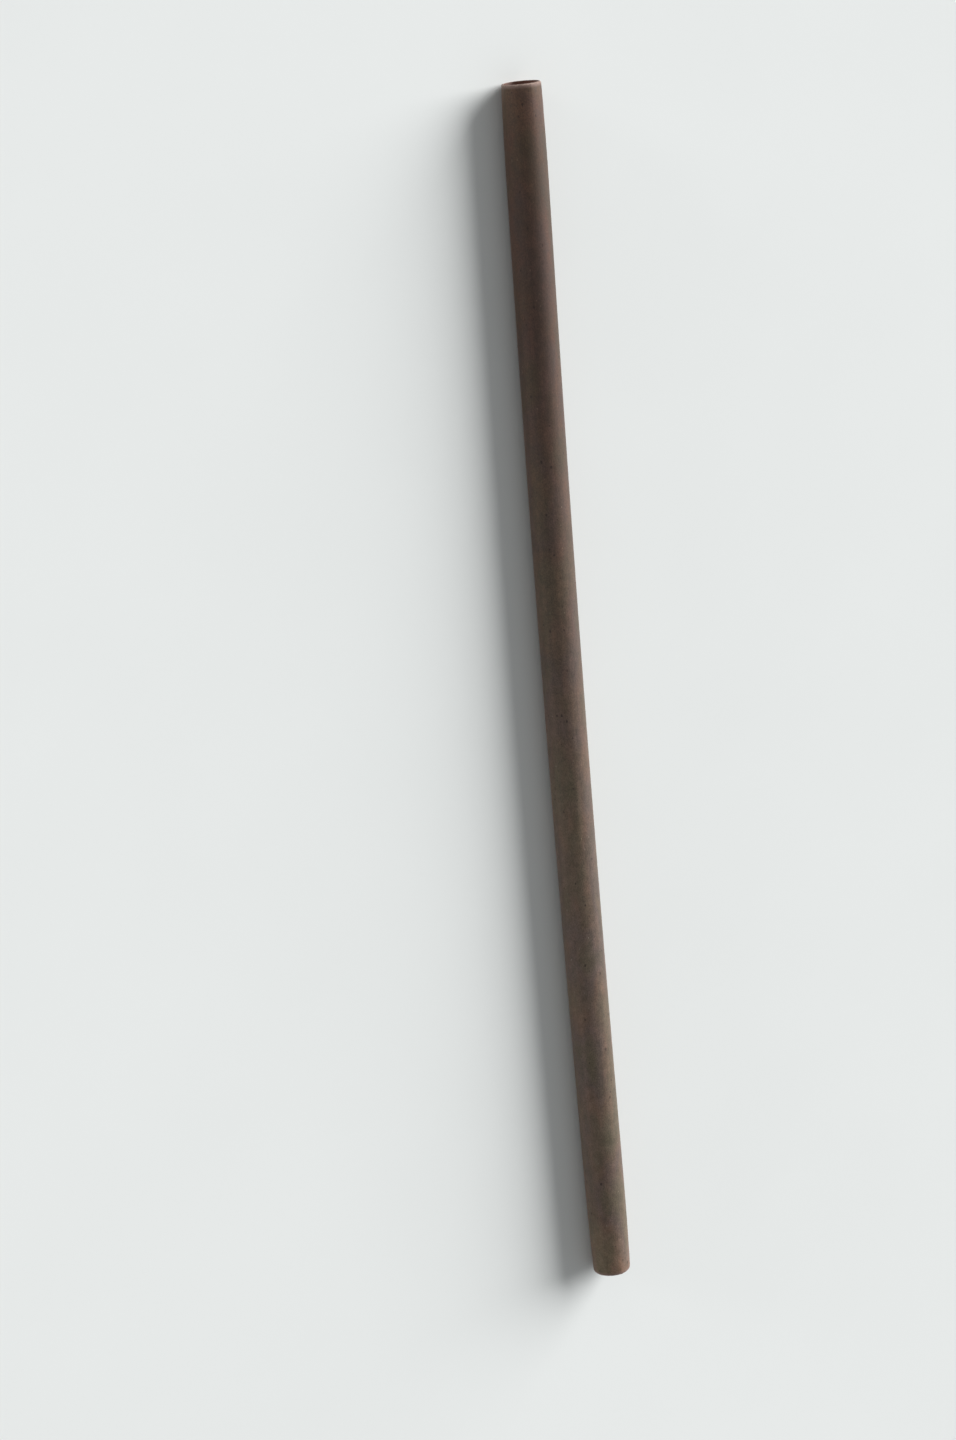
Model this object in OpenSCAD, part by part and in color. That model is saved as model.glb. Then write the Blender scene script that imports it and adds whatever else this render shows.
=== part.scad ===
// Drinking straw of dark plant fibre and coffee grounds, one extruded thin-walled tube.
// It lies on its side along X, with its drinking mouth at +X and its lowest line on Z = 0.

/* [Tube] */
// Outside diameter of the tube
outer_d = 7; // [5:0.1:14]
// Thickness of the extruded wall
wall = 0.4; // [0.3:0.05:0.8]
// Length of the straw, measured along its middle
straw_length = 210; // [120:1:300]
// How far the extruded tube bows sideways between its mouths, flat on the table
bow = 0.8; // [0.2:0.1:3]
// Length of straight tube between the bowed middle and each nipped end
straight_run = 15; // [5:1:40]

/* [Cut ends] */
// How far the cutting blade nipped each side of a mouth inwards
nip = 0.25; // [0.1:0.05:0.4]
// Length over which a nipped mouth runs back into the round tube
nip_run = 17; // [12:1:30]
// How far the cuts are out of square, in degrees
cut_slant = 2; // [0.5:0.5:5]

/* [Hidden] */
$fn = 64;
// Fragments in a full turn of the large arcs that bend a nipped side and the middle
arc_fn = 2880;
outer_r = outer_d / 2;
bore_r = outer_r - wall;
// Length of the bowed middle on each side of the straw's centre
bow_run = straw_length / 2 - nip_run - straight_run;
// Turn of an end out of line with the centre, in degrees, and radius of the bow
bow_turn = asin(bow / (straw_length / 2 - bow_run / 2));
bow_r = bow_run * 180 / (PI * bow_turn);
// Radius of the arc that leads a side inwards by the nip over its run
bend_r = (nip_run * nip_run + nip * nip) / (2 * nip);
// What a cutter reaches past the surface that it cuts
past = 1;
// How much longer than its run an end is made, so that the slanted cut has stock to cross
stock = outer_r * tan(cut_slant) + past;
// Shift of the centre that puts the bowed tube evenly on both sides of the X axis
even_out = 0.4 * bow;
brown = [0.29, 0.235, 0.2];

// The wall of a tube that starts along X and bends evenly towards -Y
module bent_wall(radius, turn) {
    translate([0, -radius, 0])
        mirror([1, -1, 0])
            rotate_extrude(angle = turn, $fn = arc_fn)
                translate([radius, 0])
                    difference() {
                        circle(outer_r);
                        circle(bore_r);
                    }
}

// The side of a nipped end that the blade pressed towards -Y, kept down to the creases
module pressed_side() {
    intersection() {
        bent_wall(bend_r, asin((nip_run + stock) / bend_r));
        translate([-past, 0, -outer_r - past])
            cube([nip_run + stock + 2 * past, outer_r + past, 2 * (outer_r + past)]);
    }
}

// A nipped end: two pressed sides that meet in a crease at the top and one at the bottom
module nipped_end() {
    pressed_side();
    mirror([0, 1, 0]) pressed_side();
}

// The straight and truly round stretch before a nipped end
module round_stretch() {
    rotate([0, 90, 0])
        difference() {
            cylinder(r = outer_r, h = straight_run);
            translate([0, 0, -past])
                cylinder(r = bore_r, h = straight_run + 2 * past);
        }
}

// What the slanted blade takes off beyond a mouth
module blade_cut(slant) {
    translate([straight_run + nip_run, 0, 0])
        rotate([0, 0, slant])
            translate([0, -outer_d, -outer_d])
                cube([2 * (stock + past), 2 * outer_d, 2 * outer_d]);
}

// One end of the straw, and the bow behind it that goes back from X = 0 past the centre
module end_and_bow(slant) {
    difference() {
        union() {
            mirror([1, 0, 0]) bent_wall(bow_r, 1.1 * bow_turn);
            round_stretch();
            translate([straight_run, 0, 0]) nipped_end();
        }
        blade_cut(slant);
    }
}

// Half the straw, with the centre of the bow on the plane X = 0
module half_straw(slant) {
    intersection() {
        rotate([0, 0, -bow_turn])
            translate([bow_r * sin(bow_turn), bow_r * (1 - cos(bow_turn)), 0])
                end_and_bow(slant);
        translate([0, -straw_length, -straw_length])
            cube(2 * straw_length);
    }
}

module straw_tube() {
    color(brown)
        translate([0, even_out, outer_r]) {
            half_straw(cut_slant);
            mirror([1, 0, 0]) half_straw(-cut_slant);
        }
}

straw_tube();
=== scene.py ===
import math

import bpy
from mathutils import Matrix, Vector


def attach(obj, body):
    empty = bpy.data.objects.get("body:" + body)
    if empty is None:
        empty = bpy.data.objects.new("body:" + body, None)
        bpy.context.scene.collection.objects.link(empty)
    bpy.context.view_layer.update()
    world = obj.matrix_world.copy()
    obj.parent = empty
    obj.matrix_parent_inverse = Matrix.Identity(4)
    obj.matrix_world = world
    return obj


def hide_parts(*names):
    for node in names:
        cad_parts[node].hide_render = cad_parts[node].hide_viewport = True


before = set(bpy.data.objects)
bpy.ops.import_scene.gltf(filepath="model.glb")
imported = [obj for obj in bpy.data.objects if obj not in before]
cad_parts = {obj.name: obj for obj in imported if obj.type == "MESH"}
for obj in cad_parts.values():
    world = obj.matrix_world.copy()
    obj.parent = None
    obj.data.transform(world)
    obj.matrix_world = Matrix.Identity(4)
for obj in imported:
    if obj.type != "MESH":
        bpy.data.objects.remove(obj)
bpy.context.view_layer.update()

# The tube. A real one is plant fibre and ground coffee in a bioplastic, pushed through a
# round die and drawn off along a trough, so it is one thin wall with a faint even bow.
# Half of it is shaped from a ring at the start of its straight stretch, in that stretch's frame.
outer_radius = 0.0035
straw_length = 0.210
bow = 0.0008
straight_run = 0.015
nip_run = 0.017
bow_run = straw_length / 2 - nip_run - straight_run
bow_turn = math.asin(bow / (straw_length / 2 - bow_run / 2))
bow_radius = bow_run / bow_turn
sides = 96
ring_gap = 0.0015
bow_ring_gap = 0.0045
touching = 1e-6


def add_ring():
    """A ring of the tube's outside, round the X axis at the origin. It is left in edit mode."""
    bpy.ops.object.select_all(action="DESELECT")
    bpy.ops.mesh.primitive_circle_add(
        vertices=sides, radius=outer_radius, rotation=(0, math.pi / 2, 0)
    )
    bpy.ops.object.transform_apply(rotation=True)
    bpy.ops.object.mode_set(mode="EDIT")
    return bpy.context.object


def pick_points(piece, wanted):
    """Select the points of the mesh in edit mode where wanted says, with what joins them."""
    bpy.ops.object.mode_set(mode="OBJECT")
    mesh = piece.data
    for point in mesh.vertices:
        point.select = wanted(point.co)
    for line in list(mesh.edges) + list(mesh.polygons):
        line.select = all(mesh.vertices[i].select for i in line.vertices)
    bpy.ops.object.mode_set(mode="EDIT")


tube = add_ring()
tube.name = "straw_wall"
bpy.ops.mesh.select_mode(type="VERT")
bpy.ops.mesh.select_all(action="SELECT")
for _ in range(round(straight_run / ring_gap)):
    bpy.ops.mesh.extrude_region_move(TRANSFORM_OT_translate={"value": (ring_gap, 0, 0)})
pick_points(tube, lambda co: abs(co.x) < touching)
bpy.ops.mesh.spin(
    steps=round(bow_run / bow_ring_gap),
    angle=-bow_turn,
    center=(0, -bow_radius, 0),
    axis=(0, 0, 1),
)
bpy.ops.object.mode_set(mode="OBJECT")

# The nipped mouth. The blade that sheared the tube pressed it from two sides before it cut,
# so each side leans in towards the cut, and the sides meet in a soft crease above and below.
# The finished half is then turned into place and mirrored to make the foot's half.
nip = 0.00025
nip_bend = (nip_run**2 + nip**2) / (2 * nip)
nip_ring_gap = 0.001
spare = 0.0012
same_point = 2e-6
on_plane = 1e-7

mouth = add_ring()
pick_points(mouth, lambda co: co.y < -touching)
bpy.ops.mesh.delete(type="VERT")
bpy.ops.mesh.select_all(action="SELECT")
bpy.ops.mesh.spin(
    steps=round((nip_run + spare) / nip_ring_gap),
    angle=math.asin((nip_run + spare) / nip_bend),
    center=(0, -nip_bend, 0),
    axis=(0, 0, 1),
)
bpy.ops.mesh.select_all(action="SELECT")
bpy.ops.mesh.bisect(
    plane_co=(0, 0, 0), plane_no=(0, 1, 0), clear_inner=True, threshold=on_plane
)
bpy.ops.object.mode_set(mode="OBJECT")
other_side = mouth.modifiers.new("other_side", "MIRROR")
other_side.use_axis = (False, True, False)
other_side.merge_threshold = touching
bpy.ops.object.modifier_apply(modifier=other_side.name)
mouth.location.x = straight_run
bpy.ops.object.transform_apply(location=True)
tube.select_set(True)
bpy.context.view_layer.objects.active = tube
bpy.ops.object.join()
tube.rotation_euler.z = -bow_turn
tube.location.x = bow_radius * math.sin(bow_turn)
tube.location.y = -bow_radius * (1 - math.cos(bow_turn))
bpy.ops.object.transform_apply(location=True, rotation=True)
for point in tube.data.vertices:
    if abs(point.co.x) < same_point:
        point.co.x = 0
far_half = tube.modifiers.new("far_half", "MIRROR")
far_half.merge_threshold = touching
bpy.ops.object.modifier_apply(modifier=far_half.name)
bpy.ops.object.mode_set(mode="EDIT")
bpy.ops.mesh.select_all(action="SELECT")
bpy.ops.mesh.remove_doubles(threshold=same_point)

# The two cuts. One blade sheared both ends a little out of square, and the two cuts run
# parallel but for the bow. The straw then goes to its place on the table.
cut_slant = math.radians(2)
mouth_x = 0.10499
mouth_y = -bow
even_out = 0.4 * bow
cut_facings = [
    (side * math.cos(lean), side * math.sin(lean), 0)
    for side, lean in ((1, cut_slant - bow_turn), (-1, cut_slant + bow_turn))
]

for side, facing in zip((1, -1), cut_facings):
    bpy.ops.mesh.select_all(action="SELECT")
    bpy.ops.mesh.bisect(
        plane_co=(side * mouth_x, mouth_y, 0),
        plane_no=facing,
        clear_outer=True,
        threshold=on_plane,
    )
bpy.ops.mesh.select_all(action="SELECT")
bpy.ops.mesh.remove_doubles(threshold=same_point)
bpy.ops.mesh.normals_make_consistent(inside=False)
bpy.ops.object.mode_set(mode="OBJECT")
tube.location = (0, even_out, outer_radius)
bpy.ops.object.transform_apply(location=True)

# The wall. The die gives it one even thickness, which goes inwards here from the skin, and
# the skin, the bore and the cut faces are told apart by their material slots.
wall_thickness = 0.0004
skin_slot, bore_slot, cut_slot = range(3)

for _ in range(3):
    bpy.ops.object.material_slot_add()
wall = tube.modifiers.new("wall", "SOLIDIFY")
wall.thickness = wall_thickness
wall.offset = -1
wall.use_even_offset = True
wall.material_offset = bore_slot
wall.material_offset_rim = cut_slot
bpy.ops.object.modifier_apply(modifier=wall.name)

# The skin: dark matte composite with cloudy patches of warm, purplish and olive brown, drawn
# out a little along the straw, fine dark grounds, paler bits of fibre and faint draw marks.
# It is painted paler from the middle to the foot and beside each cut: painted light, for light
# that falls more strongly on those parts. A narrow pale pinkish band runs along each cut.
warm_brown = (0.062, 0.033, 0.0215)
purple_brown = (0.054, 0.0305, 0.0228)
olive_brown = (0.055, 0.0335, 0.0203)
dark_ground = (0.40, 0.38, 0.38)
pale_bit = (1.9, 2.1, 2.2)
painted_light_towards_foot = (1.80, 2.28, 2.50)
painted_light_near_cuts = (1.38, 1.31, 1.22)
pale_band_colour = (0.17, 0.11, 0.09)


def new_surface(name):
    """A material with its nodes, its links and its shader."""
    surface = bpy.data.materials.new(name)
    surface.use_nodes = True
    nodes = surface.node_tree.nodes
    return surface, nodes, surface.node_tree.links, nodes["Principled BSDF"]


def grain(nodes, links, along, across, detail=2.0, kind="ShaderNodeTexNoise"):
    """A pattern with this many marks a metre along the straw and across it. Returns its node."""
    place = nodes.new("ShaderNodeTexCoord")
    stretch = nodes.new("ShaderNodeMapping")
    stretch.inputs["Scale"].default_value = (along, across, across)
    pattern = nodes.new(kind)
    pattern.inputs["Scale"].default_value = 1.0
    pattern.inputs["Detail"].default_value = detail
    links.new(place.outputs["Object"], stretch.inputs["Vector"])
    links.new(stretch.outputs["Vector"], pattern.inputs["Vector"])
    return pattern


def ramp(nodes, links, source, stops):
    """Turns a value into colours or greys, given as (place, colour) stops."""
    node = nodes.new("ShaderNodeValToRGB")
    band = node.color_ramp
    while len(band.elements) < len(stops):
        band.elements.new(0.5)
    for element, (where, colour) in zip(band.elements, stops):
        element.position = where
        element.color = (*colour, 1) if isinstance(colour, tuple) else (colour, colour, colour, 1)
    links.new(source, node.inputs["Fac"])
    return node.outputs["Color"]


def tint(nodes, links, base, over, amount=1.0, blend="MULTIPLY"):
    """Lays one colour over another. amount is a number or a socket."""
    mix = nodes.new("ShaderNodeMix")
    mix.data_type = "RGBA"
    mix.blend_type = blend
    for socket, value in ((mix.inputs[0], amount), (mix.inputs[6], base), (mix.inputs[7], over)):
        if isinstance(value, bpy.types.NodeSocket):
            links.new(value, socket)
        else:
            socket.default_value = (*value, 1) if isinstance(value, tuple) else value
    return mix.outputs[2]


def flecks(nodes, links, along, across, size, share):
    """Ragged spots of mixed sizes in some cells of a cell pattern: 1 in a spot, 0 elsewhere."""
    lumps_in_cell = 4.0
    raggedness = 0.35
    cells = grain(nodes, links, along, across, detail=0, kind="ShaderNodeTexVoronoi")
    stretch = cells.inputs["Vector"].links[0].from_node
    ragged = nodes.new("ShaderNodeTexNoise")
    ragged.inputs["Scale"].default_value = lumps_in_cell
    links.new(stretch.outputs["Vector"], ragged.inputs["Vector"])
    push = nodes.new("ShaderNodeVectorMath")
    push.operation = "MULTIPLY_ADD"
    push.inputs[1].default_value = (raggedness, raggedness, raggedness)
    links.new(ragged.outputs["Color"], push.inputs[0])
    links.new(stretch.outputs["Vector"], push.inputs[2])
    links.new(push.outputs["Vector"], cells.inputs["Vector"])
    lot = nodes.new("ShaderNodeSeparateColor")
    links.new(cells.outputs["Color"], lot.inputs["Color"])
    chosen = ramp(nodes, links, lot.outputs["Red"], [(1 - share, 0.0), (1 - share * 0.5, 1.0)])
    sized = nodes.new("ShaderNodeMath")
    sized.operation = "DIVIDE"
    links.new(cells.outputs["Distance"], sized.inputs[0])
    links.new(lot.outputs["Green"], sized.inputs[1])
    spot = ramp(nodes, links, sized.outputs["Value"], [(size * 0.6, 1.0), (size, 0.0)])
    return tint(nodes, links, spot, chosen)


def along_mouths(nodes, links, near, far):
    """1 at the cut ends, falling to 0 between near and far metres back from the closer cut."""
    cut_reach = 0.10497
    place = nodes.new("ShaderNodeTexCoord")
    closer = nodes.new("ShaderNodeMath")
    closer.operation = "MAXIMUM"
    for facing, socket in zip(cut_facings, closer.inputs):
        reach = nodes.new("ShaderNodeVectorMath")
        reach.operation = "DOT_PRODUCT"
        reach.inputs[1].default_value = facing
        links.new(place.outputs["Object"], reach.inputs[0])
        links.new(reach.outputs["Value"], socket)
    fall = nodes.new("ShaderNodeMapRange")
    fall.interpolation_type = "SMOOTHSTEP"
    fall.inputs["From Min"].default_value = cut_reach - far
    fall.inputs["From Max"].default_value = cut_reach - near
    links.new(closer.outputs["Value"], fall.inputs["Value"])
    return fall.outputs["Result"]


def relief(nodes, links, pattern, strength, height, below=None):
    """Bumps from a pattern, laid over the bumps below if there are any. Returns the normals."""
    bump = nodes.new("ShaderNodeBump")
    bump.inputs["Strength"].default_value = strength
    bump.inputs["Distance"].default_value = height
    links.new(pattern.outputs["Fac"], bump.inputs["Height"])
    if below is not None:
        links.new(below, bump.inputs["Normal"])
    return bump.outputs["Normal"]


skin, nodes, links, shader = new_surface("fibre_skin")
clouds = grain(nodes, links, 60, 150, detail=2)
colour = ramp(
    nodes,
    links,
    clouds.outputs["Fac"],
    [(0.38, olive_brown), (0.48, warm_brown), (0.58, purple_brown), (0.68, olive_brown)],
)
patches = grain(nodes, links, 170, 430, detail=3)
mottle = grain(nodes, links, 700, 950, detail=3)
draw_marks = grain(nodes, links, 20, 1300, detail=3)
powder = grain(nodes, links, 3600, 5200, detail=2)
for pattern, stops in (
    (patches, [(0.36, (0.90, 0.94, 0.90)), (0.50, (0.98, 0.99, 1.0)), (0.64, (1.11, 1.04, 1.02))]),
    (mottle, [(0.32, (0.83, 0.85, 0.82)), (0.68, (1.17, 1.15, 1.17))]),
    (draw_marks, [(0.35, 0.92), (0.65, 1.08)]),
    (powder, [(0.35, 0.80), (0.65, 1.20)]),
):
    colour = tint(nodes, links, colour, ramp(nodes, links, pattern.outputs["Fac"], stops))
grounds = flecks(nodes, links, 1000, 1500, size=0.34, share=0.26)
colour = tint(nodes, links, colour, dark_ground, grounds)
bits = flecks(nodes, links, 1000, 1900, size=0.24, share=0.20)
colour = tint(nodes, links, colour, pale_bit, bits)
place = nodes.new("ShaderNodeTexCoord")
position = nodes.new("ShaderNodeSeparateXYZ")
links.new(place.outputs["Object"], position.inputs["Vector"])
# Painted light: the skin is made paler towards the foot, for light that falls more strongly on the
# lower half.
painted_light_foot_ramp = nodes.new("ShaderNodeMapRange")
painted_light_foot_ramp.inputs["From Min"].default_value = 0.065
painted_light_foot_ramp.inputs["From Max"].default_value = -0.025
links.new(position.outputs["X"], painted_light_foot_ramp.inputs["Value"])
colour = tint(nodes, links, colour, painted_light_towards_foot, painted_light_foot_ramp.outputs["Result"])
# Painted light: paler and a little warmer beside each cut, for the open light that the free ends
# of the straw get.
colour = tint(nodes, links, colour, painted_light_near_cuts, along_mouths(nodes, links, 0.0005, 0.013))
# A pale pinkish band is mixed in within a millimetre of each cut.
pale_band_at_cuts = along_mouths(nodes, links, 0.0003, 0.0009)
colour = tint(nodes, links, colour, pale_band_colour, pale_band_at_cuts, "MIX")
links.new(colour, shader.inputs["Base Color"])
dull = ramp(nodes, links, mottle.outputs["Fac"], [(0.3, 0.60), (0.7, 0.75)])
links.new(dull, shader.inputs["Roughness"])
shader.inputs["Specular IOR Level"].default_value = 0.5
shader.inputs["Specular Tint"].default_value = (1, 0.87, 0.83, 1)
shader.inputs["Sheen Weight"].default_value = 0.1
shader.inputs["Sheen Roughness"].default_value = 0.4
shader.inputs["Sheen Tint"].default_value = (1, 0.92, 0.87, 1)
tooth = relief(nodes, links, grain(nodes, links, 2200, 3400, detail=4), 0.4, 0.00003)
sway = relief(nodes, links, grain(nodes, links, 90, 200, detail=1), 0.5, 0.0001, below=tooth)
links.new(sway, shader.inputs["Normal"])

# The bore: the same wall seen from inside. It cooled in still air and touched no trough, so
# it is redder and a little smoother than the skin.
bore_dark = (0.055, 0.019, 0.011)
bore_light = (0.12, 0.042, 0.026)

bore_skin, nodes, links, shader = new_surface("bore_skin")
blotches = grain(nodes, links, 160, 420, detail=3)
colour = ramp(nodes, links, blotches.outputs["Fac"], [(0.35, bore_dark), (0.65, bore_light)])
links.new(colour, shader.inputs["Base Color"])
shader.inputs["Roughness"].default_value = 0.55
shader.inputs["Specular IOR Level"].default_value = 0.3

# The cut face: the composite's own fibre laid bare by the shear, paler and pinkish, dull,
# and rough with fine tear marks.
fibre_dark = (0.15, 0.095, 0.075)
fibre_light = (0.30, 0.215, 0.18)

cut_face, nodes, links, shader = new_surface("cut_face")
tears = grain(nodes, links, 2600, 2600, detail=4)
colour = ramp(nodes, links, tears.outputs["Fac"], [(0.32, fibre_dark), (0.66, fibre_light)])
links.new(colour, shader.inputs["Base Color"])
shader.inputs["Roughness"].default_value = 0.85
links.new(relief(nodes, links, tears, 0.6, 0.00005), shader.inputs["Normal"])
for slot, surface in zip(tube.material_slots, (skin, bore_skin, cut_face)):
    slot.material = surface

# The lips. The shear rolled the outer edge of each cut over and left the whole lip finely
# uneven, so its edges are rounded, it stands a touch back from the clean cut, and a cloudy
# pattern pushes its points a little out of true.
outer_round = 0.00030
inner_round = 0.00006
worn_back = 0.00002
shred_width = 0.00025
shred_height = 0.00007

for slot, radius, steps in ((skin_slot, outer_round, 5), (bore_slot, inner_round, 2)):
    bpy.ops.object.mode_set(mode="EDIT")
    bpy.ops.mesh.select_mode(type="FACE")
    bpy.ops.mesh.select_all(action="DESELECT")
    tube.active_material_index = slot
    bpy.ops.object.material_slot_select()
    bpy.ops.mesh.region_to_loop()
    bpy.ops.mesh.bevel(offset=radius, segments=steps, material=cut_slot)
    bpy.ops.object.mode_set(mode="OBJECT")
bpy.ops.object.mode_set(mode="EDIT")
bpy.ops.mesh.select_all(action="DESELECT")
tube.active_material_index = cut_slot
bpy.ops.object.material_slot_select()
bpy.ops.transform.shrink_fatten(value=-worn_back)
bpy.ops.object.vertex_group_assign_new()
bpy.ops.object.mode_set(mode="OBJECT")
shreds = bpy.data.textures.new("shreds", "CLOUDS")
shreds.cloud_type = "COLOR"
shreds.noise_scale = shred_width
uneven = tube.modifiers.new("uneven", "DISPLACE")
uneven.texture = shreds
uneven.texture_coords = "LOCAL"
uneven.direction = "RGB_TO_XYZ"
uneven.vertex_group = tube.vertex_groups[0].name
uneven.strength = shred_height
bpy.ops.object.modifier_apply(modifier=uneven.name)
tube.vertex_groups.clear()
bpy.ops.object.shade_smooth_by_angle(angle=math.radians(50))
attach(tube, "root")
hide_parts("straw_tube")

# The table top: a plain pale sheet of matte card, far wider than the view, laid flat, with
# the faintest unevenness of tone.
card_dark = (0.794, 0.814, 0.804)
card_light = (0.806, 0.826, 0.816)

bpy.ops.object.select_all(action="DESELECT")
bpy.ops.mesh.primitive_plane_add(size=20)
floor = bpy.context.object
floor.name = "floor"
card, nodes, links, shader = new_surface("pale_floor")
pulp = grain(nodes, links, 30, 30, detail=5)
colour = ramp(nodes, links, pulp.outputs["Fac"], [(0.3, card_dark), (0.7, card_light)])
links.new(colour, shader.inputs["Base Color"])
shader.inputs["Roughness"].default_value = 0.9
floor.data.materials.append(card)

# Studio light: one very broad soft light from the far right, low enough to rake across the
# straw, a weak one level with the table that lifts the straw's other flank, and a pale room
# around them that fills the rest.
room = bpy.data.worlds.new("room")
room.use_nodes = True
backdrop = room.node_tree.nodes["Background"]
backdrop.inputs["Color"].default_value = (0.97, 0.99, 1.0, 1)
backdrop.inputs["Strength"].default_value = 0.28
bpy.context.scene.world = room


def add_sun(name, comes_from, width, energy):
    """A soft distant light that comes from this direction and is this many degrees wide."""
    bpy.ops.object.light_add(type="SUN", location=comes_from)
    sun = bpy.context.object
    sun.name = name
    sun.rotation_mode = "QUATERNION"
    sun.rotation_quaternion = Vector(comes_from).to_track_quat("Z", "Y")
    sun.data.angle = math.radians(width)
    sun.data.energy = energy


add_sun("key_light", (0.42, -0.80, 0.34), width=48, energy=6.2)
add_sun("edge_light", (0.50, 0.85, 0), width=22, energy=1.5)

# The camera: a portrait lens that looks down on the straw from the side that its mouth
# points to, with the straw 15 degrees out of the picture plane.
bpy.ops.object.camera_add(
    location=(0.14895, 0.26351, 0.50000),
    rotation=[math.radians(turn) for turn in (-12.629, -27.548, -95.225)],
)
camera = bpy.context.object
camera.data.lens = 85
camera.data.sensor_width = 36
camera.data.clip_start = 0.01
bpy.context.scene.camera = camera
bpy.context.scene.view_settings.view_transform = "Standard"
